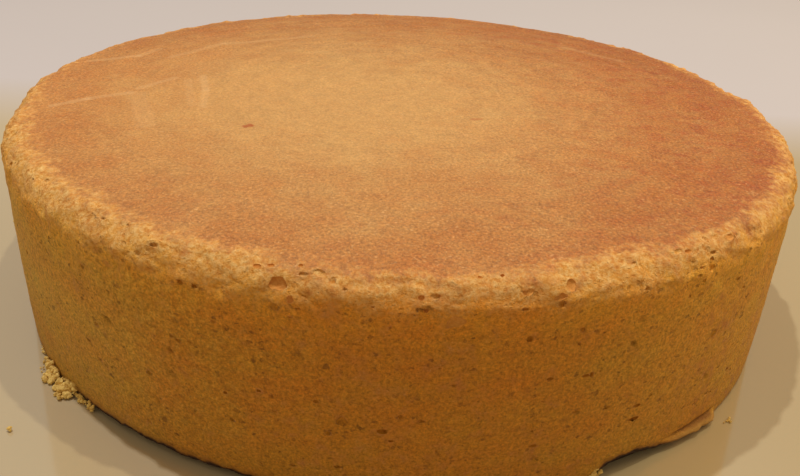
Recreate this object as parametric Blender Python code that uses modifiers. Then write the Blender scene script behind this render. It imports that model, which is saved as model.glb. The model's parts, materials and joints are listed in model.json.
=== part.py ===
# Round sponge cake, whole and bare, as one closed solid.
# Metres, +Z up. The front of the cake faces -Y and it rests on z = 0.
# A turn is an angle in degrees round Z, from the front towards +X.

import math

import bmesh
import bpy
from mathutils import Matrix, Vector, noise
from mathutils.bvhtree import BVHTree

MM = 0.001
NEAR_ZERO = 0.001

# Driving dimensions, in millimetres: a 24 cm tin, with the cake drawn in from it
TIN_DIAMETER = 240
DRAWN_IN = 3
EDGE_HEIGHT = 58.4
TOP_CROWN = 1.6
RIM_ROUNDING = 7.0
FOOT_ROUNDING = 2.4
FOOT_NARROWER = 1.4
WALL_BOW = 0.35

# The turned blank
AROUND = 180
TOP_RINGS = 9
RIM_RINGS = 6
WALL_RINGS = 8
FOOT_RINGS = 3

# Uneven baking, in millimetres
SIDE_SWELL = 0.35
SIDE_SWELL_SIZE = 60
RIM_CRAGS = 0.9
RIM_CRAG_SIZE = 9
TOP_DIMPLES = 0.45
TOP_DIMPLE_SIZE = 22
SEEDS = {"swell": 11, "crags": 23, "ragged": 31, "dimples": 41}

# Bulges and dips of the rim: turn, half width in degrees, millimetres outwards
RIM_LOBES = (
    (-93.5, 4.5, 0.8),
    (-104, 3, 0.8),
    (-80, 3, -0.6),
    (82.5, 2.5, 0.4),
    (89, 3, -0.9),
    (97, 2, 0.6),
    (104.8, 1.8, -1.3),
    (112, 1.8, -0.4),
    (116.5, 2.4, 1.2),
    (131, 3, 0.7),
    (146, 4, 0.8),
    (-163, 4, -0.6),
    (-148, 6, -0.6),
    (-140, 2.5, 0.5),
)

# The skirt of crust that sticks out at the foot, at the front right
LIP_FROM = 27
LIP_TO = 48
LIP_OUT = 3.4
LIP_HEIGHT = 3.6
LIP_THICKNESS = 1.5
LIP_RAGGED = 0.7
LIP_START_SPAN = 9
LIP_END_SPAN = 2.5

# Where the foot is tucked in: turn, half width in degrees, millimetres inwards
FOOT_TUCKS = (
    (-50.5, 4, 0.6),
    (56, 6, 0.8),
)

# Burst bubbles on the rim and the wall: turn, height, width, how tall, how deep
BUBBLES = (
    (-11.5, 55.6, 4.2, 2.9, 1.6),
    (-12.1, 50.8, 2.6, 2.0, 0.7),
    (-37.0, 57.6, 2.6, 2.2, 0.9),
    (6.3, 49.8, 3.6, 3.2, 0.7),
    (13.6, 55.6, 2.8, 1.6, 0.8),
    (17.0, 53.9, 2.9, 1.7, 0.9),
    (18.6, 56.2, 2.4, 2.8, 1.3),
    (33.5, 57.2, 3.0, 1.6, 0.9),
    (41.5, 57.2, 3.6, 1.9, 1.0),
    (-4.9, 23.3, 2.4, 2.4, 0.8),
    (-0.6, 21.4, 2.6, 1.9, 1.2),
    (29.6, 15.8, 2.8, 1.6, 1.0),
    (41.0, 32.2, 2.4, 2.2, 0.8),
)

# Crust colour, from the photo
CRUST_COLOR = (0.56, 0.27, 0.085, 1)
CRUST_ROUGHNESS = 0.8


def clear_scene():
    for old in list(bpy.data.objects):
        bpy.data.objects.remove(old, do_unlink=True)


def new_collection(name):
    collection = bpy.data.collections.new(name)
    bpy.context.scene.collection.children.link(collection)
    return collection


def crust_material():
    material = bpy.data.materials.new("crust")
    material.use_nodes = True
    material.diffuse_color = CRUST_COLOR
    shader = material.node_tree.nodes["Principled BSDF"]
    shader.inputs["Base Color"].default_value = CRUST_COLOR
    shader.inputs["Roughness"].default_value = CRUST_ROUGHNESS
    shader.inputs["Metallic"].default_value = 0
    return material


def smooth(low, high, value):
    share = min(max((value - low) / (high - low), 0), 1)
    return share * share * (3 - 2 * share)


def turn_gap(turn, other):
    # the shorter way round between two turns
    return (turn - other + 180) % 360 - 180


def bump(turn, centre, half_width):
    return math.exp(-(turn_gap(turn, centre) / half_width) ** 2)


def arc(centre_r, centre_z, radius, start, end, count):
    points = []
    for step in range(count + 1):
        angle = math.radians(start + (end - start) * step / count)
        points.append((centre_r + radius * math.cos(angle), centre_z + radius * math.sin(angle)))
    return points


def side_profile():
    # from the middle of the top, over the rim, down the wall and in under the cake
    top_radius = TIN_DIAMETER / 2 - DRAWN_IN
    foot_radius = top_radius - FOOT_NARROWER
    rim_start = top_radius - RIM_ROUNDING
    points = []
    for ring in range(TOP_RINGS):
        share = math.sqrt(ring / TOP_RINGS)
        points.append((rim_start * share, EDGE_HEIGHT + TOP_CROWN * (1 - share ** 4)))
    points += arc(rim_start, EDGE_HEIGHT - RIM_ROUNDING, RIM_ROUNDING, 90, 0, RIM_RINGS)
    wall_top = EDGE_HEIGHT - RIM_ROUNDING
    for ring in range(1, WALL_RINGS):
        share = ring / WALL_RINGS
        height = wall_top + (LIP_HEIGHT + LIP_THICKNESS - wall_top) * share
        radius = top_radius + (foot_radius - top_radius) * share
        points.append((radius + WALL_BOW * math.sin(math.pi * share), height))
    points.append((foot_radius, LIP_HEIGHT + LIP_THICKNESS))
    points.append((foot_radius, LIP_HEIGHT))
    points += arc(foot_radius - FOOT_ROUNDING, FOOT_ROUNDING, FOOT_ROUNDING, 0, -90, FOOT_RINGS)
    points.append((foot_radius / 2, 0))
    points.append((0, 0))
    return points


def turned_blank(collection):
    mesh = bpy.data.meshes.new("blank")
    points = [(radius * MM, 0, height * MM) for radius, height in side_profile()]
    edges = [(index, index + 1) for index in range(len(points) - 1)]
    mesh.from_pydata(points, edges, [])
    blank = bpy.data.objects.new("blank", mesh)
    collection.objects.link(blank)
    screw = blank.modifiers.new("turned", "SCREW")
    screw.steps = AROUND
    screw.render_steps = AROUND
    screw.use_merge_vertices = True
    screw.merge_threshold = NEAR_ZERO * MM
    return blank


def rim_weight(height):
    return smooth(EDGE_HEIGHT - 3 * RIM_ROUNDING, EDGE_HEIGHT - 0.6 * RIM_ROUNDING, height)


def rim_lobes(turn):
    return sum(out * bump(turn, centre, half) for centre, half, out in RIM_LOBES)


def lip_weight(turn):
    starts = smooth(LIP_FROM, LIP_FROM + LIP_START_SPAN, turn)
    ends = smooth(LIP_TO - LIP_END_SPAN, LIP_TO, turn)
    return starts * (1 - ends)


def foot_offset(turn, height, ragged):
    # the lip stands out in a thin band, with a crease above it and a gap below it
    above = (height - LIP_HEIGHT) / LIP_THICKNESS
    lip = (LIP_OUT + LIP_RAGGED * ragged) * max(1 - above * above, 0)
    low = 1 - smooth(LIP_HEIGHT, 3 * LIP_HEIGHT, height)
    tuck = sum(inwards * bump(turn, centre, half) for centre, half, inwards in FOOT_TUCKS)
    return lip * lip_weight(turn) - tuck * low


def noise_at(point, size, seed):
    # the seed shifts the pattern, so that no two layers of noise run together
    return noise.noise(point / size + Vector((1, 2, 3)) * SEEDS[seed])


def outwards(point, turn):
    # how far the wall or the rim stands out from the turned form, in millimetres
    swell = SIDE_SWELL * noise_at(point, SIDE_SWELL_SIZE, "swell")
    crags = RIM_CRAGS * noise_at(point, RIM_CRAG_SIZE, "crags")
    ragged = noise_at(point, RIM_CRAG_SIZE, "ragged")
    rim = rim_weight(point.z) * (rim_lobes(turn) + crags)
    return swell + rim + foot_offset(turn, point.z, ragged)


def upwards(point):
    # how far the top stands up from the turned form, in millimetres
    return TOP_DIMPLES * noise_at(point, TOP_DIMPLE_SIZE, "dimples")


def baked(point):
    # moves a point of the turned form, in millimetres, to where the uneven cake has it
    radius = math.hypot(point.x, point.y)
    if radius < NEAR_ZERO or point.z < NEAR_ZERO:
        return point
    turn = math.degrees(math.atan2(point.x, -point.y))
    out = Vector((point.x, point.y, 0)) / radius
    top_radius = TIN_DIAMETER / 2 - DRAWN_IN
    side = smooth(top_radius - 2.4 * RIM_ROUNDING, top_radius - 0.5 * RIM_ROUNDING, radius)
    top = smooth(EDGE_HEIGHT - 0.8 * RIM_ROUNDING, EDGE_HEIGHT - 0.1 * RIM_ROUNDING, point.z)
    lift = Vector((0, 0, 1)) * (top * upwards(point))
    return point + out * (side * outwards(point, turn)) + lift


def bake_unevenly(blank):
    depsgraph = bpy.context.evaluated_depsgraph_get()
    mesh = bpy.data.meshes.new_from_object(blank.evaluated_get(depsgraph))
    for vertex in mesh.vertices:
        vertex.co = baked(vertex.co / MM) * MM
    work = bmesh.new()
    work.from_mesh(mesh)
    bmesh.ops.recalc_face_normals(work, faces=work.faces)
    work.to_mesh(mesh)
    work.free()
    return mesh


def centre_on_foot(mesh):
    # the origin is in the middle of the box, at the bottom
    xs = [vertex.co.x for vertex in mesh.vertices]
    ys = [vertex.co.y for vertex in mesh.vertices]
    middle = Vector(((min(xs) + max(xs)) / 2, (min(ys) + max(ys)) / 2, 0))
    mesh.transform(Matrix.Translation(-middle))


def wall_place(tree, turn, height):
    angle = math.radians(turn)
    out = Vector((math.sin(angle), -math.cos(angle), 0))
    start = out * (TIN_DIAMETER * MM) + Vector((0, 0, height * MM))
    point, normal, _, _ = tree.ray_cast(start, -out)
    return point, normal


def add_bubble(name, tree, size, collection):
    turn, height, width, tall, deep = size
    point, normal = wall_place(tree, turn, height)
    mesh = bpy.data.meshes.new(name)
    ball = bmesh.new()
    bmesh.ops.create_icosphere(ball, subdivisions=2, radius=1)
    ball.to_mesh(mesh)
    ball.free()
    bubble = bpy.data.objects.new(name, mesh)
    across = Vector((0, 0, 1)).cross(normal).normalized()
    frame = Matrix((across, normal.cross(across), normal)).transposed().to_4x4()
    half = Vector((width, tall, 2 * deep)) * (MM / 2)
    bubble.matrix_world = Matrix.Translation(point) @ frame @ Matrix.Diagonal(half).to_4x4()
    bubble.display_type = "WIRE"
    bubble.hide_render = True
    collection.objects.link(bubble)


def cut_bubbles(cake, cutters):
    tree = BVHTree.FromPolygons(
        [vertex.co for vertex in cake.data.vertices],
        [polygon.vertices for polygon in cake.data.polygons],
    )
    for index, size in enumerate(BUBBLES):
        add_bubble("bubble_%d" % index, tree, size, cutters)
    cut = cake.modifiers.new("bubbles", "BOOLEAN")
    cut.operation = "DIFFERENCE"
    cut.operand_type = "COLLECTION"
    cut.collection = cutters
    cut.solver = "EXACT"


def build_cake(parts, cutters):
    blank = turned_blank(cutters)
    mesh = bake_unevenly(blank)
    bpy.data.objects.remove(blank, do_unlink=True)
    mesh.name = "cake"
    centre_on_foot(mesh)
    mesh.materials.append(crust_material())
    cake = bpy.data.objects.new("cake", mesh)
    parts.objects.link(cake)
    cut_bubbles(cake, cutters)
    return cake


def main():
    clear_scene()
    build_cake(new_collection("sponge_cake"), new_collection("cutters"))


main()
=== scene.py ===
# A whole round sponge cake, bare, in a plain studio.
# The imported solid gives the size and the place. This script adds the crumb, the skin and the loose crumbs.
# The front faces -Y. A turn is an angle in degrees round Z, from the front towards +X.

import functools
import json
import math
import random

import bmesh
import bpy
from mathutils import Matrix, Vector, noise
from mathutils.bvhtree import BVHTree

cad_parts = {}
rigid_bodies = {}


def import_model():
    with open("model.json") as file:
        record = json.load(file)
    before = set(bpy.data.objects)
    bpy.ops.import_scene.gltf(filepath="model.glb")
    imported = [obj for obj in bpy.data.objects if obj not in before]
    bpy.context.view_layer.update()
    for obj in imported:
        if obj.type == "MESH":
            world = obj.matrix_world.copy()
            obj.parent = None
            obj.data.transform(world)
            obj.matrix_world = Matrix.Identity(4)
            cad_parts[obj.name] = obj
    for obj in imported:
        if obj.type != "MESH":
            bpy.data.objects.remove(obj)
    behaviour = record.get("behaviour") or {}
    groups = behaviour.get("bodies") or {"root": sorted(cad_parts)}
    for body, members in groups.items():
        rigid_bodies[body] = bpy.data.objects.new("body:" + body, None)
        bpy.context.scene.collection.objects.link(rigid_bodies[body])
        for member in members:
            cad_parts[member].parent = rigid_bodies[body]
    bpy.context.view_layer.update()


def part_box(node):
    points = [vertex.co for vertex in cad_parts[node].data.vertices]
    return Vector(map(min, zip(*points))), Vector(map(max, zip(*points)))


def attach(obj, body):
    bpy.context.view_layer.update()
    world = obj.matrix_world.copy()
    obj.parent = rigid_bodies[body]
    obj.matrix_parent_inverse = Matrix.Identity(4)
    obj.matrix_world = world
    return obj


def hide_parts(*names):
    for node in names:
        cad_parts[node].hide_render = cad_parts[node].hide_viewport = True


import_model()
cakeLow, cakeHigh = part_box("cake")
mm = 0.001


def hexColor(text):
    # sRGB hex to the linear values that Blender's sockets take
    parts = [int(text[start:start + 2], 16) / 255 for start in (1, 3, 5)]
    linear = [part / 12.92 if part <= 0.04045 else ((part + 0.055) / 1.055) ** 2.4 for part in parts]
    return (*linear, 1.0)


def addNode(tree, kind, *inputs, named=None, **settings):
    # adds one node, its inputs in order or by name. An input is a value, an sRGB hex, a socket, or a node,
    # taken by its first live output
    family = "" if kind.startswith(("Geometry", "Node", "Function")) else "ShaderNode"
    node = tree.nodes.new(family + kind)
    for name, value in settings.items():
        setattr(node, name, value)
    for key, value in [*enumerate(inputs), *(named or {}).items()]:
        if isinstance(value, bpy.types.Node):
            value = next(out for out in value.outputs if out.enabled)
        if isinstance(value, str) and value.startswith("#"):
            value = hexColor(value)
        if isinstance(value, bpy.types.NodeSocket):
            tree.links.new(value, node.inputs[key])
        elif value is not None:
            node.inputs[key].default_value = value
    return node


def newMaterial(name):
    # the material, a function that adds nodes to it, and its shader
    material = bpy.data.materials.new(name)
    material.use_nodes = True
    tree = material.node_tree
    return material, functools.partial(addNode, tree), tree.nodes["Principled BSDF"]


def plug(shader, name, source):
    # links a node's first live output to one of the shader's inputs
    shader.id_data.links.new(next(out for out in source.outputs if out.enabled), shader.inputs[name])


def paintOver(node, color, layers):
    # lays colours over one another: each layer is its share, its colour and how it is blended in
    for share, over, blend in layers:
        color = node("Mix", share, named={6: color, 7: over}, data_type="RGBA", blend_type=blend)
    return color


def addObject(name, data):
    piece = bpy.data.objects.new(name, data)
    bpy.context.scene.collection.objects.link(piece)
    return piece


def setInputs(modifier, values):
    # a modifier's inputs go by socket identifier, not by name
    for item in modifier.node_group.interface.items_tree:
        if item.item_type == "SOCKET" and item.in_out == "INPUT" and item.name in values:
            modifier[item.identifier] = values[item.name]


def makePlain(piece):
    # the evaluated shape becomes a plain mesh, and the modifiers go
    depsgraph = bpy.context.evaluated_depsgraph_get()
    mesh = bpy.data.meshes.new_from_object(piece.evaluated_get(depsgraph))
    piece.modifiers.clear()
    old = piece.data
    piece.data = mesh
    bpy.data.meshes.remove(old)
    mesh.name = piece.name


def wayOut(turn):
    # the level direction of a turn, away from the axis
    angle = math.radians(turn)
    return Vector((math.sin(angle), -math.cos(angle), 0))


# The turned form, in millimetres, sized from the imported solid's box
cakeForm = {
    "topRadius": (cakeHigh.x - cakeLow.x) / mm / 2 - 0.3,   # the wall bulges past it
    "edgeHeight": cakeHigh.z / mm - 1.9,                    # the top rises past it
    "topCrown": 1.5,
    "rimRounding": 7.0,
    "footNarrower": 1.4,
    "footRounding": 1.2,
    "wallBow": 0.35,
    "gridCells": 156,       # cells along a side of the top's grid; its four sides make one ring
    "rimSpacing": 0.6,      # between rings
    "wallSpacing": 1.05,
    "footSpacing": 0.4,
    "footZone": 5.0,        # height of the finely ringed foot
    "baseRings": (0.5, 1.0, 1.6, 3.0, 8.0, 20.0, 35.0),     # inwards from the last ring of the foot
}


def sideProfile(form):
    # radius and height, from just below the top's grid, over the rim, down the wall and under the foot
    radius = form["topRadius"]
    rounding = form["rimRounding"]
    footRadius = radius - form["footNarrower"]
    corner = form["footRounding"]
    points = []
    steps = round(math.pi / 2 * rounding / form["rimSpacing"])
    for step in range(1, steps + 1):
        angle = math.pi / 2 * (1 - step / steps)
        points.append((radius - rounding + rounding * math.cos(angle),
                       form["edgeHeight"] - rounding + rounding * math.sin(angle)))
    wallTop = form["edgeHeight"] - rounding
    height = wallTop
    while height > corner + form["footSpacing"]:
        height -= form["wallSpacing"] if height > form["footZone"] else form["footSpacing"]
        share = (wallTop - height) / (wallTop - corner)
        bow = form["wallBow"] * math.sin(math.pi * share)
        points.append((radius - form["footNarrower"] * share + bow, height))
    steps = round(math.pi / 2 * corner / form["footSpacing"])
    for step in range(1, steps + 1):
        angle = -math.pi / 2 * step / steps
        points.append((footRadius - corner + corner * math.cos(angle), corner + corner * math.sin(angle)))
    for inwards in form["baseRings"]:
        points.append((footRadius - corner - inwards, 0.0))
    return points


def discPlace(across, along):
    # moves a point of a square to a disc, so that the square's outline is evenly spaced on the circle
    if across == 0 and along == 0:
        return 0.0, 0.0
    if abs(across) > abs(along):
        size, angle = across, math.pi / 4 * along / across
    else:
        size, angle = along, math.pi / 2 - math.pi / 4 * across / along
    return size * math.cos(angle), size * math.sin(angle)


def turnedBlank(form):
    # one closed mesh: a gridded top, rings from the rim to the foot, and a fan under the cake
    cells = form["gridCells"]
    gridRadius = form["topRadius"] - form["rimRounding"]
    points = []
    faces = []
    for row in range(cells + 1):
        for column in range(cells + 1):
            x, y = discPlace(2 * column / cells - 1, 2 * row / cells - 1)
            height = form["edgeHeight"] + form["topCrown"] * (1 - math.hypot(x, y) ** 4)
            points.append((x * gridRadius, y * gridRadius, height))
    side = cells + 1
    for row in range(cells):
        for column in range(cells):
            first = row * side + column
            faces.append((first, first + 1, first + 1 + side, first + side))
    ring = [cells + row * side for row in range(cells)]
    ring += [cells * side + cells - column for column in range(cells)]
    ring += [(cells - row) * side for row in range(cells)]
    ring += list(range(cells))
    angles = [math.atan2(points[index][1], points[index][0]) for index in ring]
    around = len(ring)
    for radius, height in sideProfile(form):
        start = len(points)
        points += [(radius * math.cos(angle), radius * math.sin(angle), height) for angle in angles]
        for step in range(around):
            after = (step + 1) % around
            faces.append((ring[step], start + step, start + after, ring[after]))
        ring = list(range(start, start + around))
    middle = len(points)
    points.append((0.0, 0.0, 0.0))
    for step in range(around):
        faces.append((ring[step], middle, ring[(step + 1) % around]))
    mesh = bpy.data.meshes.new("cakeBody")
    mesh.from_pydata([Vector(point) * mm for point in points], [], faces)
    mesh.polygons.foreach_set("use_smooth", [True] * len(faces))
    mesh.update()
    return mesh


# Uneven baking and the torn rim: inputs of the Geometry Nodes tree, in millimetres
relief = {
    "Swell": 0.35,            # broad bulges of the wall
    "Swell size": 60.0,
    "Lobes": 1.0,             # share of the rim's own bulges, listed below
    "Crags": 0.9,             # of the rim
    "Crag size": 8.0,
    "Torn crumb": 1.1,        # roughness of the bare crumb at the rim
    "Torn crumb size": 3.2,
    "Wall grain": 0.2,
    "Wall grain size": 2.6,
    "Pore depth": 0.8,
    "Pore spacing": 6.0,
    "Dimples": 0.4,           # of the top
    "Dimple size": 22.0,
    "Skin grain": 0.1,
    "Skin grain size": 3.0,
    "Wrinkles": 0.1,
    "Wrinkle spacing": 8.0,
    "Seed": 5.0,
}

# Bulges and dips of the rim: turn in degrees, mm outwards
rimLobes = ((-180, 0), (-163, -0.6), (-155, -0.55), (-147, -0.5), (-140, 0.5), (-131, 0), (-110, 0),
            (-104, 0.8), (-99, 0.5), (-93.5, 0.9), (-87, 0.5), (-80, -0.6), (-74, 0), (78, 0), (82.5, 0.35),
            (85, -0.3), (89, -0.95), (93, -0.3), (97, 0.5), (101, 0.3), (104.8, -1.3), (108, 0),
            (112, -0.4), (116.5, 1.25), (121, 0.1), (131, 0.65), (138, 0), (146, 0.8), (154, 0), (180, 0))

# How far out the browned skin reaches: turn, radius in mm
skinReach = ((-180, 113.5), (-120, 113.5), (-80, 113), (-55, 111), (-38, 112), (-28, 112), (-18, 112),
             (-10, 113), (0, 114), (12, 113.5), (22, 112), (31, 112), (42, 113), (55, 113.5), (70, 112.5),
             (85, 112), (105, 112), (125, 113), (150, 114), (180, 113.5))

# How far the lip of crust stands out at the foot: turn, mm
lipReach = ((-180, 0), (34, 0), (37, 0.7), (41, 1.5), (44, 1.9), (46, 2.0), (47.3, 1.2), (48.5, 0), (180, 0))

# How far the foot is lifted off the floor: turn, mm
footLift = ((-180, 0), (-54, 0), (-48, 0.5), (-40, 1.1), (-28, 1.5), (-16, 1.3), (-6, 0.7), (4, 0.2),
            (18, 0.1), (25, 0), (26.5, 2.6), (29, 3.4), (33, 2.6), (38, 1.0), (43, 0.4), (49, 0), (180, 0))

# The foot, in millimetres. Each pair is where a form starts and where it is full
footForm = {
    "lipTop": (2.9, 2.2),
    "lipBottom": (0.3, 0.9),
    "lipUneven": 0.3,            # share of the lip
    "creaseTop": (3.9, 3.1),     # the hollow above the lip
    "creaseBottom": (2.3, 2.7),
    "creaseOut": -0.25,          # against the lip's reach
    "liftTop": (8.0, 1.0),       # how far up the wall the lift is felt
    "liftRadius": (112.5, 113.9),
    "liftUneven": 0.4,           # share of the lift
    "crustShadowTop": 4.4,
}


def addTurnCurve(tree, turn, points, low, high):
    # a value against the turn, run through a Float Curve's unit square
    node = functools.partial(addNode, tree)
    curve = node("FloatCurve", 1.0, node("MapRange", turn, -180.0, 180.0))
    line = curve.mapping.curves[0]
    for index, (place, value) in enumerate(points):
        spot = ((place + 180) / 360, (value - low) / (high - low))
        if index < 2:
            line.points[index].location = spot
        else:
            line.points.new(*spot)
    for point in line.points:
        point.handle_type = "AUTO_CLAMPED"
    curve.mapping.update()
    return node("MapRange", curve, 0.0, 1.0, low, high)


def bakedRelief():
    tree = bpy.data.node_groups.new("bakedRelief", "GeometryNodeTree")
    tree.interface.new_socket("Geometry", in_out="INPUT", socket_type="NodeSocketGeometry")
    for name in relief:
        tree.interface.new_socket(name, in_out="INPUT", socket_type="NodeSocketFloat")
    tree.interface.new_socket("Material", in_out="INPUT", socket_type="NodeSocketMaterial")
    tree.interface.new_socket("Geometry", in_out="OUTPUT", socket_type="NodeSocketGeometry")
    node = functools.partial(addNode, tree)
    given = node("NodeGroupInput").outputs
    edge = cakeForm["edgeHeight"]
    rounding = cakeForm["rimRounding"]
    topRadius = cakeForm["topRadius"]

    # where each point is: in millimetres, with its turn, its distance from the axis and the way out
    place = node("VectorMath", node("GeometryNodeInputPosition"), named={"Scale": 1 / mm}, operation="SCALE")
    x, y, height = node("SeparateXYZ", place).outputs
    level = node("VectorMath", place, (1, 1, 0), operation="MULTIPLY")
    radius = node("VectorMath", level, operation="LENGTH")
    outwards = node("VectorMath", level, operation="NORMALIZE")
    front = node("Math", y, -1.0, operation="MULTIPLY")
    turn = node("Math", node("Math", x, front, operation="ARCTAN2"), operation="DEGREES")
    rimTop = edge - 0.6 * rounding
    onRim = node("MapRange", height, edge - 3 * rounding, rimTop, interpolation_type="SMOOTHSTEP")
    onTop = node("MapRange", height, rimTop, edge, interpolation_type="SMOOTHSTEP")
    bySide = node("MapRange", radius, topRadius - 2.4 * rounding, topRadius - 0.5 * rounding,
                  interpolation_type="SMOOTHSTEP")
    offFloor = node("MapRange", height, 0.1, 1.6, interpolation_type="SMOOTHSTEP")

    def grain(size, shift, detail=2.0, stretch=(1, 1, 1), rough=0.5):
        # noise from -1 to 1 at a size in millimetres
        spot = node("VectorMath", place, stretch, operation="MULTIPLY")
        scale = node("Math", 1.0, size, operation="DIVIDE")
        seed = node("Math", given["Seed"], shift, operation="ADD")
        cloud = node("TexNoise", named={"Vector": spot, "W": seed, "Scale": scale, "Detail": detail,
                                        "Roughness": rough}, noise_dimensions="4D")
        return node("MapRange", cloud, 0.2, 0.8, -1.0, 1.0)

    def product(first, *others):
        for other in others:
            first = node("Math", first, other, operation="MULTIPLY")
        return first

    def total(first, *others):
        for other in others:
            first = node("Math", first, other, operation="ADD")
        return first

    # the skin ends at an uneven line; this field is the distance in from it
    reach = addTurnCurve(tree, turn, skinReach, 95.0, 120.0)
    inFrom = node("Math", reach, radius, operation="SUBTRACT")
    inFrom = total(inFrom, product(grain(12.0, 1.0), 3.0), product(grain(4.0, 2.0, 3.0), 2.0))
    hasSkin = node("MapRange", inFrom, -1.0, 1.5, interpolation_type="SMOOTHSTEP")
    bare = node("Math", 1.0, hasSkin, operation="SUBTRACT")
    upHigh = node("MapRange", height, edge - 11, edge - 4, interpolation_type="SMOOTHSTEP")
    torn = product(bare, upHigh)

    # broad forms, straight out from the axis
    lobes = product(addTurnCurve(tree, turn, rimLobes, -2.0, 2.0), given["Lobes"], onRim)
    swell = product(grain(given["Swell size"], 3.0), given["Swell"])
    crags = product(grain(given["Crag size"], 4.0), given["Crags"], onRim)
    lipOut = addTurnCurve(tree, turn, lipReach, 0.0, 5.0)
    lipAbove = node("MapRange", height, *footForm["lipTop"], interpolation_type="SMOOTHSTEP")
    lipBelow = node("MapRange", height, *footForm["lipBottom"], interpolation_type="SMOOTHSTEP")
    ragged = node("Math", grain(2.4, 5.0), footForm["lipUneven"], 1.0, operation="MULTIPLY_ADD")
    lip = product(lipOut, lipAbove, lipBelow, ragged)
    creaseAbove = node("MapRange", height, *footForm["creaseTop"], interpolation_type="SMOOTHSTEP")
    creaseBelow = node("MapRange", height, *footForm["creaseBottom"], interpolation_type="SMOOTHSTEP")
    creasing = product(lipOut, creaseAbove, creaseBelow)
    crease = product(creasing, footForm["creaseOut"])
    outSum = product(total(lobes, swell, crags, lip, crease), bySide, offFloor)

    # fine forms, along the surface's own normal
    tornGrain = product(grain(given["Torn crumb size"], 6.0, 4.0, (1, 1, 1), 0.6), given["Torn crumb"], torn)
    wallGrain = product(grain(given["Wall grain size"], 7.0, 3.0, (1, 1, 1.5)), given["Wall grain"], bare)
    skinGrain = product(grain(given["Skin grain size"], 8.0, 3.0), given["Skin grain"], hasSkin)
    bent = node("TexNoise", named={"Vector": place, "Scale": 0.4}, noise_dimensions="3D")
    bend = node("VectorMath", bent.outputs["Color"], (0.5, 0.5, 0.5), operation="SUBTRACT")
    bend = node("VectorMath", bend, (4.0, 4.0, 4.0), operation="MULTIPLY")
    poreSpot = node("VectorMath", place, bend, operation="ADD")
    poreSpot = node("VectorMath", poreSpot, (1, 1, 1.4), operation="MULTIPLY")
    poreScale = node("Math", 1.0, given["Pore spacing"], operation="DIVIDE")
    cells = node("TexVoronoi", named={"Vector": poreSpot, "Scale": poreScale})
    luck = node("SeparateXYZ", cells.outputs["Color"])
    poreRadius = node("MapRange", luck, 0.5, 1.0, 0.001, 0.19)
    poreShare = node("Math", cells.outputs["Distance"], poreRadius, operation="DIVIDE")
    pore = product(node("MapRange", poreShare, 1.0, 0.5, interpolation_type="SMOOTHSTEP"), bare)
    pores = product(pore, given["Pore depth"], -1.0)
    dimples = product(grain(given["Dimple size"], 9.0), given["Dimples"], onTop)
    rings = node("Math", product(radius, 2 * math.pi), given["Wrinkle spacing"], operation="DIVIDE")
    ripple = node("Math", total(rings, product(grain(24.0, 10.0), 2.0)), operation="SINE")
    atBack = node("MapRange", y, -20.0, 60.0, interpolation_type="SMOOTHSTEP")
    wrinkles = product(ripple, given["Wrinkles"], atBack, onTop)
    fineSum = product(total(tornGrain, wallGrain, skinGrain, pores, dimples, wrinkles), offFloor)

    # the foot bends up a little where it doesn't meet the floor
    lowDown = node("MapRange", height, *footForm["liftTop"], interpolation_type="SMOOTHSTEP")
    outerFoot = node("MapRange", radius, *footForm["liftRadius"], interpolation_type="SMOOTHSTEP")
    uneven = node("Math", grain(2.2, 11.0, 3.0), footForm["liftUneven"], 1.0, operation="MULTIPLY_ADD")
    lifted = addTurnCurve(tree, turn, footLift, 0.0, 4.0)
    lift = product(lifted, lowDown, outerFoot, uneven)
    # the foot's crust and the painted shadow of the gap under it: darkest at the bottom and where the foot is
    # lifted
    crustShadowHeight = node("MapRange", height, footForm["crustShadowTop"], 0.0)
    crustAndGapShadow = product(crustShadowHeight, node("MapRange", lifted, 0.0, 1.0, 0.55, 1.0))

    outMove = node("VectorMath", outwards, named={"Scale": product(outSum, mm)}, operation="SCALE")
    normal = node("GeometryNodeInputNormal")
    fineMove = node("VectorMath", normal, named={"Scale": product(fineSum, mm)}, operation="SCALE")
    liftMove = node("CombineXYZ", 0.0, 0.0, product(lift, mm))
    move = node("VectorMath", outMove, fineMove, operation="ADD")
    move = node("VectorMath", move, liftMove, operation="ADD")

    # the material reads these: the skin's edge, the lip's crust, where to paint shade in pores and the
    # crease, and the foot's crust with painted shadow under it
    shades = {"inFromEdge": inFrom, "poreShade": pore, "lipShade": product(lipOut, lipAbove),
              "creaseShade": creasing, "footShade": crustAndGapShadow}
    shape = given["Geometry"]
    for name, field in shades.items():
        stored = {"Geometry": shape, "Name": name, "Value": field}
        shape = node("GeometryNodeStoreNamedAttribute", named=stored, data_type="FLOAT", domain="POINT")
    moved = node("GeometryNodeSetPosition", named={"Geometry": shape, "Offset": move})
    real = node("GeometryNodeRealizeInstances", moved)
    dressed = node("GeometryNodeSetMaterial", real, named={"Material": given["Material"]})
    node("NodeGroupOutput", dressed)
    return tree


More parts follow.
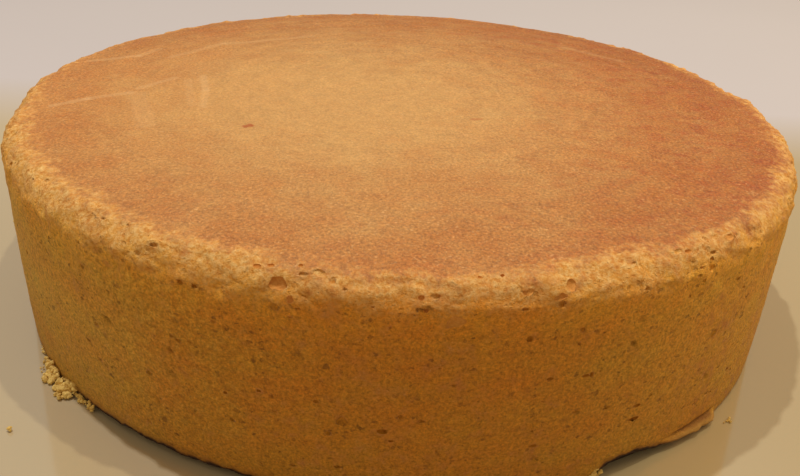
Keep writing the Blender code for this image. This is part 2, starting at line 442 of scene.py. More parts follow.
# Burst bubbles of the rim and the wall: turn, height, width, how tall, how deep, in degrees and millimetres
bubbles = (
    (-11.8, 55.0, 4.1, 2.9, 0.7), (-10.3, 52.6, 1.4, 1.8, 0.6), (-12.1, 50.6, 2.8, 2.0, 0.4),
    (-14.3, 57.4, 1.8, 1.2, 0.5), (-12.9, 57.7, 1.6, 1.0, 0.5), (-9.9, 58.0, 1.0, 0.9, 0.5),
    (-7.8, 57.7, 2.4, 1.4, 0.4), (-9.4, 57.0, 1.7, 0.9, 0.4), (-6.2, 57.0, 1.2, 1.6, 0.4),
    (2.7, 54.9, 1.3, 1.2, 0.5), (4.1, 55.0, 1.9, 1.1, 0.4), (3.2, 52.4, 1.0, 0.9, 0.7),
    (6.3, 49.8, 3.7, 3.2, 0.5), (11.2, 57.8, 0.9, 0.7, 0.5), (8.8, 57.9, 1.2, 0.8, 0.5),
    (13.6, 55.4, 2.9, 1.5, 0.45), (17.0, 54.0, 2.9, 1.6, 0.5), (18.4, 55.8, 2.2, 2.7, 0.6),
    (14.2, 44.6, 1.6, 1.4, 0.6), (32.7, 57.8, 3.0, 1.1, 0.4), (34.3, 57.0, 2.6, 1.1, 0.5),
    (41.5, 57.2, 3.4, 1.6, 0.5), (-37.0, 57.0, 2.6, 1.8, 0.4), (-28.3, 54.6, 1.9, 1.0, 0.4),
    (-26.5, 56.8, 2.1, 1.0, 0.4), (-4.9, 23.2, 2.4, 2.3, 0.4), (-0.6, 21.3, 2.4, 1.5, 1.0),
    (-6.4, 19.5, 1.3, 1.2, 0.4), (-7.7, 27.9, 1.3, 0.8, 0.5), (-5.3, 10.0, 1.8, 0.7, 0.4),
    (0.4, 18.7, 1.3, 0.6, 0.5), (16.3, 15.3, 2.0, 0.8, 0.5), (21.4, 32.9, 1.7, 0.9, 0.5),
    (22.1, 33.0, 0.9, 1.3, 0.7), (17.1, 33.7, 1.7, 0.8, 0.5), (29.6, 15.9, 2.8, 1.2, 0.8),
    (29.7, 19.9, 1.9, 1.0, 0.6), (25.0, 22.2, 2.0, 0.8, 0.3), (20.9, 23.2, 1.8, 0.8, 0.3),
    (41.0, 32.2, 2.4, 2.1, 0.4), (-18.0, 25.4, 1.0, 0.8, 0.6), (-14.0, 28.1, 1.1, 0.8, 0.6),
)

# Fine pits between them, drawn by chance: how many, lowest, highest, narrowest, widest, depth against width
finePits = (
    (120, 50.0, 58.0, 0.7, 1.9, 0.3),     # on the rim
    (200, 3.0, 49.0, 0.6, 1.5, 0.3),      # on the wall
)

bubbleForm = {
    "levels": 3,              # subdivisions of the ball that cuts a bubble
    "pitLevels": 2,           # and of the one that cuts a fine pit
    "uneven": 0.25,           # how far a bubble's radius varies
    "pitUneven": 0.6,
    "unevenSize": 0.9,        # against its own radius
    "noiseStep": 7.3,         # between the noises of two bubbles
    "pitTall": (0.45, 0.9),   # least and most, against a pit's width
    "pitShade": 0.3,          # how much painted shade a fine pit gets, against a pore
    "shallow": 0.45,          # mm deep; a bubble under this has no wall of its own
    "seed": 4,
}


def ballShape(levels):
    ball = bmesh.new()
    bmesh.ops.create_icosphere(ball, subdivisions=levels, radius=1)
    points = [vertex.co.copy() for vertex in ball.verts]
    faces = [[vertex.index for vertex in face.verts] for face in ball.faces]
    ball.free()
    return points, faces


def formNormal(turn, height):
    # the normal of the turned form, without its roughness
    above = height - cakeForm["edgeHeight"] + cakeForm["rimRounding"]
    rise = min(max(above / cakeForm["rimRounding"], 0), 1)
    return wayOut(turn) * math.sqrt(1 - rise * rise) + Vector((0, 0, rise))


def allBubbles():
    # the listed ones, then the fine pits, each with the subdivisions of its ball
    rows = [(bubbleForm["levels"], *bubble) for bubble in bubbles]
    chance = random.Random(bubbleForm["seed"])
    for count, lowest, highest, narrowest, widest, depth in finePits:
        for _ in range(count):
            width = narrowest + (widest - narrowest) * chance.random() ** 2
            tall = width * chance.uniform(*bubbleForm["pitTall"])
            place = (chance.uniform(-180, 180), chance.uniform(lowest, highest))
            rows.append((bubbleForm["pitLevels"], *place, width, tall, depth * width))
    return rows


def bubbleCutter(body, material):
    # bubbles have a wall of their own; the fine pits go on in the body's own crumb
    tree = BVHTree.FromPolygons([vertex.co for vertex in body.data.vertices],
                                [polygon.vertices for polygon in body.data.polygons])
    balls = {levels: ballShape(levels) for levels in (bubbleForm["levels"], bubbleForm["pitLevels"])}
    points = []
    faces = []
    walls = []
    for index, (levels, turn, height, width, tall, deep) in enumerate(allBubbles()):
        ball, ballFaces = balls[levels]
        isPit = levels == bubbleForm["pitLevels"]
        uneven = bubbleForm["pitUneven" if isPit else "uneven"]
        outside = wayOut(turn) * 2 * cakeForm["topRadius"] * mm + Vector((0, 0, height * mm))
        point = tree.ray_cast(outside, -wayOut(turn))[0]
        normal = formNormal(turn, height)
        across = Vector((0, 0, 1)).cross(normal).normalized()
        axes = Matrix((across, normal.cross(across), normal)).transposed()
        half = Matrix.Diagonal(Vector((width / 2, tall / 2, deep)) * mm)
        start = len(points)
        step = Vector((index * bubbleForm["noiseStep"], 0, 0))
        for spot in ball:
            wobble = noise.noise(spot / bubbleForm["unevenSize"] + step)
            points.append(point + axes @ half @ (spot * (1 + uneven * wobble)))
        faces += [[start + corner for corner in face] for face in ballFaces]
        walls += [int(isPit or deep < bubbleForm["shallow"])] * len(ballFaces)
    mesh = bpy.data.meshes.new("bubbleCutter")
    mesh.from_pydata(points, [], faces)
    mesh.polygons.foreach_set("use_smooth", [True] * len(faces))
    mesh.materials.append(material)
    mesh.materials.append(body.data.materials[0])
    mesh.polygons.foreach_set("material_index", walls)
    # the pits are bare crumb, and get painted shade through poreShade
    for name, value in (("inFromEdge", -10.0), ("poreShade", bubbleForm["pitShade"])):
        mesh.attributes.new(name, "FLOAT", "POINT").data.foreach_set("value", [value] * len(points))
    cutter = addObject("bubbleCutter", mesh)
    cutter.hide_render = True
    return cutter


def burstBubbles(body, material):
    cutter = bubbleCutter(body, material)
    cut = body.modifiers.new("bubbles", "BOOLEAN")
    cut.operation = "DIFFERENCE"
    cut.object = cutter
    cut.solver = "MANIFOLD"
    cut.material_mode = "TRANSFER"
    makePlain(body)
    bpy.data.objects.remove(cutter, do_unlink=True)
    mesh = body.data
    inside = mesh.materials.find(material.name)
    sides = {}
    for polygon in mesh.polygons:
        for key in polygon.edge_keys:
            sides.setdefault(key, set()).add(polygon.material_index == inside)
    for edge in mesh.edges:
        edge.use_edge_sharp = len(sides[edge.key]) == 2
    print("burst bubbles and pits cut:", len(mesh.polygons), "faces")


# Baked egg sponge. Colours are sRGB, sizes in millimetres
spongeLook = {
    "skinPale": "#CA9856",
    "skinDeep": "#B6702E",
    "skinRed": "#AC5822",
    "skinFleck": "#E6B87C",
    "sideTint": "#FCF2E2",          # multiplies the skin at the left and the right
    "palest": (-24.0, -8.0, 0.0),   # where the top browned least, and where a painted sheen is brightest
    "rimCrumb": "#FCCE80",
    "rimDeep": "#E8A44A",
    # painted shade of the rim's hollows
    "rimHollowShade": "#CC7C2A",
    "wallCrumb": "#D2962E",
    "wallPale": "#E2AE48",
    "wallDeep": "#BC7E22",
    "lowGold": "#D0962C",           # the lowest part of the wall
    "leftPale": "#E2B44E",
    # painted light on the right of the wall
    "rightPaintedLight": "#E8AE40",
    "frontBrown": "#CA801E",
    "patchWarm": "#FFE8D8",         # these two multiply the wall's broad patches
    "patchCool": "#F4FFF0",
    "paintedPoreShade": "#66380C",
    "crustBrownShade": "#8A501C",
    "crustDarkShadow": "#2A1606",
    "lipCrust": "#BC8A3E",
    # painted shade in the crease above the lip
    "creasePaintedShade": "#6C3812",
    "fraying": 12.0,                # how far the edge of the skin is broken up
    "skinEdge": (-4.0, 4.6),        # in from that edge: bare crumb, whole skin
    "crumbRelief": 0.462,           # heights of the bump
    "poreRelief": -0.4,
    "skinRelief": 0.34,
    "crumbRoughness": 0.75,
    "skinRoughness": 0.5,
    "specular": 0.28,
}

# Noises of the sponge: size in mm, detail, stretch along x, y and z, roughness
spongeGrain = {
    "fray": (2.8, 6.0, (1, 1, 1), 0.7),
    "brownPatches": (20.0, 8.0, (1, 1, 1), 0.74),
    "redPatches": (7.5, 7.0, (1, 1.2, 1), 0.8),
    "flecks": (0.6, 2.0, (1, 1, 1), 0.5),
    "specks": (0.7, 3.0, (1, 0.8, 1), 0.75),
    "skinRelief": (1.3, 5.0, (1, 1, 1), 0.62),
    "mottle": (2.2, 6.0, (1, 1, 1.4), 0.74),
    "wallPatches": (16.0, 5.0, (1, 1, 1.6), 0.6),
    "fine": (0.7, 4.0, (1, 1, 1), 0.75),
    "clumps": (1.1, 6.0, (1, 1, 1.2), 0.74),
    # broad patches of the rim's painted hollow shade
    "rimHollows": (5.0, 7.0, (1, 1, 1), 0.76),
    "rimEdge": (5.0, 6.0, (1, 1, 1), 0.74),
    "poreClusters": (9.0, 3.0, (1, 1, 1), 0.5),
}

# Painted pores, dents coloured dark as painted shade: size of the cells, share with a pore, widest radius,
# how flat, how dark, in millimetres
paintedPores = (
    (1.5, 0.5, 0.7, 1.3, 0.7),
    (2.9, 0.45, 1.0, 1.6, 1.0),
    (6.5, 0.45, 1.5, 1.7, 1.0),
)

# Slow changes of the skin's brightness: axis, start and end in mm, factor at the start and the end
skinShading = (
    ("y", 10.0, 100.0, 1.0, 0.86),
    ("x", 20.0, 100.0, 1.0, 0.91),
    ("y", -30.0, -90.0, 1.0, 0.94),
)

# Crust of the foot, with painted shadow in the gap under its lifted edge and painted shade in the crease over
# the lip: which shade, where it starts and is full, its share, its colour
footCrustAndShadow = (
    ("footShade", 0.2, 0.8, 0.75, "crustBrownShade"), ("footShade", 0.6, 0.78, 0.95, "crustDarkShadow"),
    ("lipShade", 0.3, 1.2, 0.8, "lipCrust"), ("creaseShade", 0.5, 1.3, 0.6, "creasePaintedShade"),
)

# Marks of the skin: turn and radius of each end, half its width in mm, how strong, its colour
topMarks = (
    (-77, 104, -79, 95, 2.0, 0.28, "skinFleck"), (-79, 95, -82, 83, 2.0, 0.24, "skinFleck"),
    (-85, 81, -94, 73, 1.8, 0.22, "skinFleck"), (-97, 65, -84, 61, 1.8, 0.26, "skinFleck"),
    (-84, 61, -70, 62, 1.8, 0.22, "skinFleck"), (-92, 68, -72, 65, 1.8, 0.12, "skinFleck"),
    (-81, 81, -62, 80, 4.0, 0.12, "skinFleck"), (-102, 108, -108, 96, 1.8, 0.26, "skinFleck"),
    (-108, 96, -114, 95, 1.8, 0.2, "skinFleck"), (-110, 85, -126, 81, 1.8, 0.18, "skinFleck"),
    (-126, 81, -151, 73, 1.8, 0.18, "skinFleck"), (139, 89, 124, 95, 2.0, 0.14, "skinFleck"),
    (168, 81, 146, 93, 2.0, 0.25, "skinRed"), (159, 79, 139, 89, 2.0, 0.2, "skinRed"),
    (-50.3, 56.2, -50.3, 54.8, 1.5, 0.9, "skinRed"), (43, 30, 47, 31, 1.2, 0.5, "skinRed"),
)


def bakedSponge():
    # baked egg sponge: matt golden crumb full of pores, under a thin browned skin with a faint sheen
    material, node, shader = newMaterial("bakedSponge")
    look = spongeLook
    edge = cakeForm["edgeHeight"]
    place = node("TexCoord").outputs["Object"]
    place = node("VectorMath", place, named={"Scale": 1 / mm}, operation="SCALE")
    x, y, height = node("SeparateXYZ", place).outputs
    fromPalest = node("VectorMath", place, look["palest"], operation="SUBTRACT")
    fromPalest = node("VectorMath", fromPalest, (1, 1, 0), operation="MULTIPLY")
    radius = node("VectorMath", fromPalest, operation="LENGTH")
    shades = {}
    for name in ("inFromEdge", "poreShade", "lipShade", "creaseShade", "footShade"):
        shades[name] = node("Attribute", attribute_name=name).outputs["Fac"]

    def grain(name):
        # one of the noises of spongeGrain, from 0 to 1
        size, detail, stretch, rough = spongeGrain[name]
        spot = node("VectorMath", place, stretch, operation="MULTIPLY")
        cloud = node("TexNoise", named={"Vector": spot, "Scale": 1 / size, "Detail": detail,
                                        "Roughness": rough})
        return node("MapRange", cloud, 0.2, 0.8)

    # pores are drawn on a slightly bent copy of the place, so that none is a clean circle
    bent = node("TexNoise", named={"Vector": place, "Scale": 1 / 1.3, "Detail": 2.0}).outputs["Color"]
    bend = node("VectorMath", bent, (0.5, 0.5, 0.5), operation="SUBTRACT")
    bend = node("VectorMath", bend, (1.8, 1.8, 1.8), operation="MULTIPLY")
    bentPlace = node("VectorMath", place, bend, operation="ADD")

    def pores(size, share, widest, flatten):
        # a share of the cells of this size holds a pore: 1 in its middle, 0 outside it
        spot = node("VectorMath", bentPlace, (1, 1, flatten), operation="MULTIPLY")
        cells = node("TexVoronoi", named={"Vector": spot, "Scale": 1 / size})
        luck = node("SeparateXYZ", cells.outputs["Color"])
        wide = node("MapRange", luck, 1 - share, 1.0, 0.001, widest / size)
        near = node("Math", cells.outputs["Distance"], wide, operation="DIVIDE")
        return node("MapRange", near, 1.1, 0.55, interpolation_type="SMOOTHSTEP")

    # the skin thins out and breaks up towards its edge, finer than the mesh does
    frayed = node("Math", grain("fray"), 0.5, operation="SUBTRACT")
    inFrom = node("Math", frayed, look["fraying"], shades["inFromEdge"], operation="MULTIPLY_ADD")
    hasSkin = node("MapRange", inFrom, *look["skinEdge"], interpolation_type="SMOOTHSTEP")

    # skin: pale in the middle, partly as a painted sheen, redder outwards and in soft patches, finely
    # speckled
    browned = node("Math", grain("brownPatches"), 90.0, radius, operation="MULTIPLY_ADD")
    redPatches = node("MapRange", grain("redPatches"), 0.42, 0.85, 0.0, 0.8)
    red = node("Math", redPatches, node("MapRange", radius, 50.0, 120.0, 0.25, 0.75), operation="MULTIPLY")
    red = node("Math", red, node("MapRange", x, 20.0, 80.0, 1.0, 2.3), operation="MULTIPLY", use_clamp=True)
    skinLayers = [
        (node("MapRange", browned, 78.0, 172.0), look["skinDeep"], "MIX"),
        (red, look["skinRed"], "MIX"),
    ]
    for axis, *limits in skinShading:
        skinLayers.append((1.0, node("MapRange", {"x": x, "y": y}[axis], *limits), "MULTIPLY"))
    speck = node("MapRange", grain("specks"), 0.15, 0.85, -1.0, 1.0)
    speckle = node("MapRange", radius, 30.0, 95.0, 0.22, 0.42)
    skinLayers += [
        (node("MapRange", node("Math", x, operation="ABSOLUTE"), 30.0, 95.0), look["sideTint"], "MULTIPLY"),
        (node("MapRange", grain("flecks"), 0.62, 0.95, 0.0, 0.45), look["skinFleck"], "MIX"),
        (1.0, node("Math", speck, speckle, 1.0, operation="MULTIPLY_ADD"), "MULTIPLY"),
    ]

    # faint streaks round the axis, where the batter was smoothed; they fade towards the front
    level = node("VectorMath", place, (1, 1, 0), operation="MULTIPLY")
    fromAxis = node("VectorMath", level, operation="LENGTH")
    way = node("VectorMath", level, operation="NORMALIZE")
    way = node("VectorMath", way, (3.0, 3.0, 0.0), operation="MULTIPLY")
    ringPlace = node("CombineXYZ", named={2: node("Math", fromAxis, 0.2, operation="MULTIPLY")})
    ringPlace = node("VectorMath", way, ringPlace, operation="ADD")
    ringNoise = node("TexNoise", named={"Vector": ringPlace, "Scale": 1.0, "Detail": 5.0, "Roughness": 0.7})
    streak = node("MapRange", ringNoise, 0.3, 0.7, -0.11, 0.11)
    faded = node("MapRange", y, -95.0, 20.0, 0.35, 1.0)
    skinLayers.append((1.0, node("Math", streak, faded, 1.0, operation="MULTIPLY_ADD"), "MULTIPLY"))

    # faint lines, and two dark specks, each along a straight stretch of the top
    flat = node("VectorMath", bentPlace, (1, 1, 0), operation="MULTIPLY")
    for firstTurn, firstRadius, lastTurn, lastRadius, wide, strength, tone in topMarks:
        first = wayOut(firstTurn) * firstRadius
        length = wayOut(lastTurn) * lastRadius - first
        offset = node("VectorMath", flat, tuple(first), operation="SUBTRACT")
        along = node("VectorMath", offset, tuple(length), operation="DOT_PRODUCT")
        along = node("MapRange", along, 0.0, length.length_squared)
        nearest = node("VectorMath", tuple(length), named={"Scale": along}, operation="SCALE")
        away = node("VectorMath", offset, nearest, operation="DISTANCE")
        mark = node("MapRange", away, 0.35 * wide, wide, strength, 0.0, interpolation_type="SMOOTHSTEP")
        skinLayers.append((mark, look[tone], "MIX"))
    skin = paintOver(node, look["skinPale"], skinLayers)

    # crumb of the wall: deeper gold than the rim, brownest at the front
    mottle = grain("mottle")
    fine = grain("fine")
    patches = paintOver(node, look["patchWarm"], [(grain("wallPatches"), look["patchCool"], "MIX")])
    atLeft = node("Math", node("MapRange", x, -46.0, -84.0, 0.0, 0.7),
                  node("MapRange", height, 52.0, 30.0, 0.3, 1.0), operation="MULTIPLY")
    atFront = node("Math", node("MapRange", x, -60.0, -12.0), node("MapRange", x, 92.0, 40.0, 0.0, 0.7),
                   operation="MULTIPLY")
    wall = paintOver(node, look["wallDeep"], [
        (node("MapRange", mottle, 0.2, 0.5), look["wallCrumb"], "MIX"),
        (node("MapRange", mottle, 0.5, 0.85), look["wallPale"], "MIX"),
        (atLeft, look["leftPale"], "MIX"),
        (atFront, look["frontBrown"], "MIX"),
        (node("MapRange", height, 26.0, 8.0, 0.0, 0.35), look["lowGold"], "MIX"),
        # painted light: the right of the wall is paler, as if more light fell there
        (node("MapRange", x, 15.0, 70.0, 0.0, 0.36), look["rightPaintedLight"], "MIX"),
        # lighter towards the top, and painted light just under the rim, where the lit rim turns into the wall
        (1.0, node("MapRange", height, 4.0, 50.0, 0.97, 1.12), "MULTIPLY"),
        (1.0, patches, "MULTIPLY"),
        (1.0, node("MapRange", fine, 0.15, 0.85, 0.56, 1.48), "MULTIPLY"),
        (1.0, node("MapRange", height, edge - 16.0, edge - 4.0, 1.0, 1.22), "MULTIPLY"),
    ])

    # crumb of the torn rim: pale clumps, with painted shade in the hollows between them and in broad patches
    clumps = grain("clumps")
    rim = paintOver(node, look["rimHollowShade"], [
        (node("MapRange", clumps, 0.2, 0.46), look["rimDeep"], "MIX"),
        (node("MapRange", clumps, 0.41, 0.69), look["rimCrumb"], "MIX"),
        (node("MapRange", fine, 0.4, 0.1, 0.0, 0.4), look["rimHollowShade"], "MIX"),
        (node("MapRange", grain("rimHollows"), 0.5, 0.8, 0.0, 0.65), look["rimHollowShade"], "MIX"),
    ])
    uneven = node("Math", grain("rimEdge"), 10.0, height, operation="MULTIPLY_ADD")
    upHigh = node("MapRange", uneven, edge - 4.0, edge + 5.0, interpolation_type="SMOOTHSTEP")

    # painted shade of the pores comes in clusters and shows less on the rim; the crust and painted shadow of
    # the foot go over everything
    hole = 0.0
    for size, share, widest, flatten, darkness in paintedPores:
        pore = node("Math", pores(size, share, widest, flatten), darkness, operation="MULTIPLY")
        hole = node("Math", pore, hole, operation="MAXIMUM")
    clusters = node("MapRange", grain("poreClusters"), 0.35, 0.65, 0.3, 1.0)
    hole = node("Math", hole, clusters, operation="MULTIPLY")
    dark = node("Math", hole, shades["poreShade"], operation="MAXIMUM")
    dark = node("Math", dark, node("MapRange", upHigh, 0.0, 1.0, 0.55, 0.165), operation="MULTIPLY")
    layers = [(upHigh, rim, "MIX"), (dark, look["paintedPoreShade"], "MIX"), (hasSkin, skin, "MIX")]
    shades["footShade"] = node("Math", frayed, 0.35, shades["footShade"], operation="MULTIPLY_ADD")
    for name, start, full, share, tone in footCrustAndShadow:
        layers.append((node("MapRange", shades[name], start, full, 0.0, share), look[tone], "MIX"))
    plug(shader, "Base Color", paintOver(node, wall, layers))

    # heights in millimetres
    crumbHeight = node("Math", clumps, look["crumbRelief"], operation="MULTIPLY")
    crumbHeight = node("Math", hole, look["poreRelief"], crumbHeight, operation="MULTIPLY_ADD")
    skinHeight = node("Math", grain("skinRelief"), look["skinRelief"], operation="MULTIPLY")
    heights = node("Mix", hasSkin, named={2: crumbHeight, 3: skinHeight})
    plug(shader, "Normal", node("Bump", named={"Height": heights, "Strength": 1.0, "Distance": mm}))
    roughness = node("MapRange", hasSkin, named={3: look["crumbRoughness"], 4: look["skinRoughness"]})
    plug(shader, "Roughness", roughness)
    shader.inputs["Specular IOR Level"].default_value = look["specular"]
    return material


bubbleLook = {
    "rimPale": "#E6A452",
    "rimDeep": "#D08636",
    # the two colours down the wall are darker, as painted shade
    "wallPale": "#C68426",
    "wallDeep": "#A86A1A",
    "grain": 0.9,         # mm
    "relief": 0.25,       # mm
    "roughness": 0.6,
    "specular": 0.15,
}


def bubbleWall():
    # inside a burst bubble: the same sponge, glazed smooth by its own steam; down the wall its colour is
    # deeper, painted shade of the hollow
    material, node, shader = newMaterial("bubbleWall")
    look = bubbleLook
    place = node("TexCoord").outputs["Object"]
    scale = 1 / (look["grain"] * mm)
    cloud = node("TexNoise", named={"Vector": place, "Scale": scale, "Detail": 5.0, "Roughness": 0.7})
    cloud = node("MapRange", cloud, 0.3, 0.7)
    atRim = paintOver(node, look["rimPale"], [(cloud, look["rimDeep"], "MIX")])
    height = node("SeparateXYZ", place).outputs[2]
    edge = cakeForm["edgeHeight"] * mm
    upHigh = node("MapRange", height, edge - 14 * mm, edge - 6 * mm)
    color = paintOver(node, look["wallPale"], [(cloud, look["wallDeep"], "MIX"), (upHigh, atRim, "MIX")])
    plug(shader, "Base Color", color)
    bump = node("Bump", named={"Height": cloud, "Strength": 0.8, "Distance": look["relief"] * mm})
    plug(shader, "Normal", bump)
    shader.inputs["Roughness"].default_value = look["roughness"]
    shader.inputs["Specular IOR Level"].default_value = look["specular"]
    return material


# Loose crumbs, in groups: turn, radius, how high the group starts, spread along, spread outwards, how high it
# is heaped, how many, smallest and largest. Turns in degrees, sizes in millimetres
looseGroups = (
    (-50.6, 116.0, 0.0, 3.8, 1.3, 2.8, 90, 0.5, 1.9),     # the heap at the foot
    (-46.4, 115.8, 0.0, 3.8, 1.4, 2.4, 90, 0.5, 2.1),
    (-53.4, 115.9, 0.0, 1.8, 0.6, 2.4, 22, 0.5, 1.2),
    (-57.0, 115.7, 0.3, 2.0, 0.2, 1.0, 10, 0.4, 0.9),
    (-43.0, 115.7, 0.0, 2.0, 0.5, 1.4, 26, 0.5, 1.3),
    (-41.0, 115.7, 0.0, 1.0, 0.4, 1.6, 16, 0.5, 1.4),
    (-63.5, 116.1, 33.5, 0.7, 0.3, 3.0, 4, 0.9, 1.7),     # a tuft, caught on the wall at the left
    (25.6, 115.3, 0.3, 1.4, 0.3, 2.4, 22, 0.6, 1.4),      # hanging from the lifted foot
    (-43.8, 134.2, 0.0, 0.3, 0.3, 0.3, 3, 0.9, 1.6),      # strays
    (48.4, 119.4, 0.0, 1.6, 0.5, 0.0, 9, 0.4, 0.9),
    (150.0, 117.0, 0.0, 16.0, 1.2, 0.6, 16, 0.4, 1.6),
)

crumbPlacing = {
    "seed": 11,
    "small": 1.6,          # the higher, the more of them are small
    "gather": 1.7,         # the higher, the closer they lie along the foot
    "middle": 0.52,        # how high a crumb's middle lies, against its size
}

# Inputs of the Geometry Nodes tree
crumbForm = {
    "Uneven": 0.38,        # how far a crumb's surface is moved, against its size
    "Uneven size": 1.0,    # mm
    "Seed": 3.0,
}

crumbLook = {
    "pale": "#ECC96C",
    # painted shade of the crumbs' hollows
    "hollow": "#C89C44",
    "grain": 0.9,          # mm
    "relief": 0.2,         # mm
    "roughness": 0.8,
}


def crumbShapes():
    # instances a ball at every point, turns and sizes each, then breaks them all up by noise
    tree = bpy.data.node_groups.new("crumbShapes", "GeometryNodeTree")
    tree.interface.new_socket("Geometry", in_out="INPUT", socket_type="NodeSocketGeometry")
    for name in crumbForm:
        tree.interface.new_socket(name, in_out="INPUT", socket_type="NodeSocketFloat")
    tree.interface.new_socket("Material", in_out="INPUT", socket_type="NodeSocketMaterial")
    tree.interface.new_socket("Geometry", in_out="OUTPUT", socket_type="NodeSocketGeometry")
    node = functools.partial(addNode, tree)
    given = node("NodeGroupInput").outputs
    ball = node("GeometryNodeMeshIcoSphere", named={"Radius": 0.5, "Subdivisions": 2})
    fullTurn = (math.tau, math.tau, math.tau)
    anyWay = node("FunctionNodeRandomValue", data_type="FLOAT_VECTOR", named={1: fullTurn})
    size = node("GeometryNodeInputNamedAttribute", "crumbSize", data_type="FLOAT")
    flattest, fullest = (0.7, 0.7, 0.6), (1.2, 1.2, 1.0)
    squash = node("FunctionNodeRandomValue", data_type="FLOAT_VECTOR", named={0: flattest, 1: fullest})
    scale = node("VectorMath", squash, named={"Scale": size}, operation="SCALE")
    copy = {"Instance": ball, "Rotation": anyWay, "Scale": scale}
    copies = node("GeometryNodeInstanceOnPoints", given["Geometry"], named=copy)
    real = node("GeometryNodeRealizeInstances", copies)
    place = node("VectorMath", node("GeometryNodeInputPosition"), named={"Scale": 1 / mm}, operation="SCALE")
    fineness = node("Math", 1.0, given["Uneven size"], operation="DIVIDE")
    cloud = node("TexNoise", named={"Vector": place, "W": given["Seed"], "Scale": fineness, "Detail": 3.0,
                                    "Roughness": 0.6}, noise_dimensions="4D")
    shift = node("VectorMath", cloud.outputs["Color"], (0.5, 0.5, 0.5), operation="SUBTRACT")
    reach = node("Math", size, given["Uneven"], operation="MULTIPLY")
    reach = node("Math", reach, 2.0, operation="MULTIPLY")
    shift = node("VectorMath", shift, named={"Scale": reach}, operation="SCALE")
    moved = node("GeometryNodeSetPosition", named={"Geometry": real, "Offset": shift})
    dressed = node("GeometryNodeSetMaterial", moved, named={"Material": given["Material"]})
    node("NodeGroupOutput", dressed)
    return tree


def tornCrumb():
    # torn crumb, off the cake: pale gold, matt, with painted shade in its hollows
    material, node, shader = newMaterial("tornCrumb")
    look = crumbLook
    place = node("VectorMath", node("TexCoord").outputs["Object"], named={"Scale": 1 / mm}, operation="SCALE")
    scale = 1 / look["grain"]
    cloud = node("TexNoise", named={"Vector": place, "Scale": scale, "Detail": 4.0, "Roughness": 0.65})
    layers = [(node("MapRange", cloud, 0.35, 0.6), look["pale"], "MIX")]
    plug(shader, "Base Color", paintOver(node, look["hollow"], layers))
    bump = node("Bump", named={"Height": cloud, "Strength": 1.0, "Distance": look["relief"] * mm})
    plug(shader, "Normal", bump)
    shader.inputs["Roughness"].default_value = look["roughness"]
    return material


def looseCrumbs():
    chance = random.Random(crumbPlacing["seed"])
    places = []
    sizes = []
    for turn, radius, base, along, outwards, heap, count, smallest, largest in looseGroups:
        for _ in range(count):
            size = smallest + (largest - smallest) * chance.random() ** crumbPlacing["small"]
            out = abs(chance.gauss(0, outwards))
            swing = math.degrees(chance.gauss(0, along / crumbPlacing["gather"]) / radius)
            slope = max(0, 1 - out / (2 * outwards))
            up = base + heap * chance.random() * slope + crumbPlacing["middle"] * size
            places.append((wayOut(turn + swing) * (radius + out) + Vector((0, 0, up))) * mm)
            sizes.append(size * mm)
    mesh = bpy.data.meshes.new("looseCrumbs")
    mesh.from_pydata(places, [], [])
    mesh.attributes.new("crumbSize", "FLOAT", "POINT").data.foreach_set("value", sizes)
    crumbs = addObject("looseCrumbs", mesh)
    modifier = crumbs.modifiers.new("crumbShapes", "NODES")
    modifier.node_group = crumbShapes()
    setInputs(modifier, {**crumbForm, "Material": tornCrumb()})
    makePlain(crumbs)
    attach(crumbs, "root")
    print("loose crumbs:", len(sizes))


def cakeBody():
    body = addObject("cakeBody", turnedBlank(cakeForm))
    modifier = body.modifiers.new("bakedRelief", "NODES")
    modifier.node_group = bakedRelief()
    setInputs(modifier, {**relief, "Material": bakedSponge()})
    makePlain(body)
    print("cake body:", len(body.data.polygons), "faces")
    burstBubbles(body, bubbleWall())
    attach(body, "root")
    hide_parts("cake")


# Studio: two small lamps high above the cake, a large weak one at the right, and an even sky
studio = {
    "floorColor": "#BCA982",
    # painted shade on the floor at the right
    "floorRightShade": "#AE996C",
    "floorFar": "#C8C0BE",
    "rightShadeFrom": (0.02, 0.12),    # metres to the right: where that colour starts and is full
    "farFrom": (0.11, 0.18),      # metres behind the middle
    "floorSize": 6.0,
    "floorRoughness": 0.09,
    "floorGloss": 1.0,
    "floorIor": 1.7,
    "worldColor": "#FFECD4",
    "worldStrength": 0.49,
}

# Each lamp: turn, degrees above the floor, metres away, size in metres, power in watts, colour
lamps = (
    (95.5, 78.5, 2.2, 0.05, 11.0, "#FFF8E4"),
    (-114.4, 79.6, 2.2, 0.05, 21.5, "#E8EEFF"),
    (112.0, 38.0, 1.2, 0.5, 4.4, "#FFE6BE"),
)


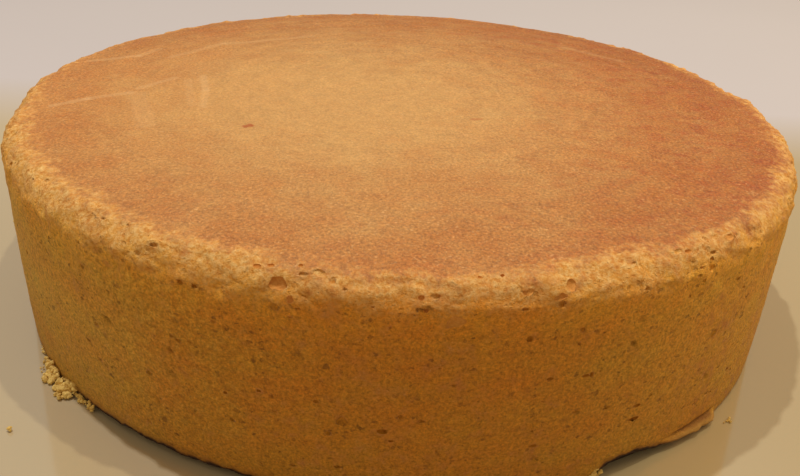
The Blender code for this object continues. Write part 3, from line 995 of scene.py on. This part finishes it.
def studioFloor():
    # glazed board: warm round the cake, with painted shade at its right, cooler far behind, glossy enough to
    # mirror it
    material, node, shader = newMaterial("studioFloor")
    place = node("TexCoord").outputs["Object"]
    cloud = node("TexNoise", named={"Vector": place, "Scale": 3.0, "Detail": 4.0})
    x, y = node("SeparateXYZ", place).outputs[:2]
    color = paintOver(node, studio["floorColor"], [
        (node("MapRange", x, *studio["rightShadeFrom"]), studio["floorRightShade"], "MIX"),
        (node("MapRange", y, *studio["farFrom"]), studio["floorFar"], "MIX"),
        (1.0, node("MapRange", cloud, 0.2, 0.8, 0.97, 1.03), "MULTIPLY"),
    ])
    plug(shader, "Base Color", color)
    shader.inputs["Roughness"].default_value = studio["floorRoughness"]
    shader.inputs["Specular IOR Level"].default_value = studio["floorGloss"]
    shader.inputs["IOR"].default_value = studio["floorIor"]
    half = studio["floorSize"] / 2
    corners = [(-half, -half, 0), (half, -half, 0), (half, half, 0), (-half, half, 0)]
    mesh = bpy.data.meshes.new("studioFloor")
    mesh.from_pydata(corners, [], [(0, 1, 2, 3)])
    mesh.materials.append(material)
    addObject("studioFloor", mesh)


def studioLights():
    for index, (turn, rise, distance, size, power, color) in enumerate(lamps):
        rise = math.radians(rise)
        way = wayOut(turn) * math.cos(rise) + Vector((0, 0, math.sin(rise)))
        lamp = bpy.data.lights.new("lamp%d" % index, "AREA")
        lamp.energy = power
        lamp.size = size
        lamp.color = hexColor(color)[:3]
        holder = addObject(lamp.name, lamp)
        holder.location = way * distance
        holder.rotation_euler = way.to_track_quat("Z", "Y").to_euler()
    world = bpy.data.worlds.new("studioSky")
    world.use_nodes = True
    background = world.node_tree.nodes["Background"]
    background.inputs[0].default_value = hexColor(studio["worldColor"])
    background.inputs[1].default_value = studio["worldStrength"]
    bpy.context.scene.world = world


# The camera, in metres and degrees, as the photograph was taken
cameraSetup = {
    "place": (0.0, -0.26957, 0.14649),
    "down": 27.03,
    "yaw": -0.22,
    "roll": -2.85,
    "lens": 40.23,
}


def placeCamera():
    camera = bpy.data.cameras.new("camera")
    camera.sensor_fit = "HORIZONTAL"
    camera.sensor_width = 36.0
    camera.lens = cameraSetup["lens"]
    camera.clip_start = 0.01
    holder = addObject("camera", camera)
    aim = Matrix.Rotation(math.radians(cameraSetup["yaw"]), 4, "Z")
    aim = aim @ Matrix.Rotation(math.radians(90 - cameraSetup["down"]), 4, "X")
    aim = aim @ Matrix.Rotation(math.radians(-cameraSetup["roll"]), 4, "Z")
    holder.matrix_world = Matrix.Translation(cameraSetup["place"]) @ aim
    bpy.context.scene.camera = holder
    print("studio: floor,", len(lamps), "lamps and the camera")


cakeBody()
looseCrumbs()
studioFloor()
studioLights()
placeCamera()
bpy.context.scene.view_settings.view_transform = "Standard"
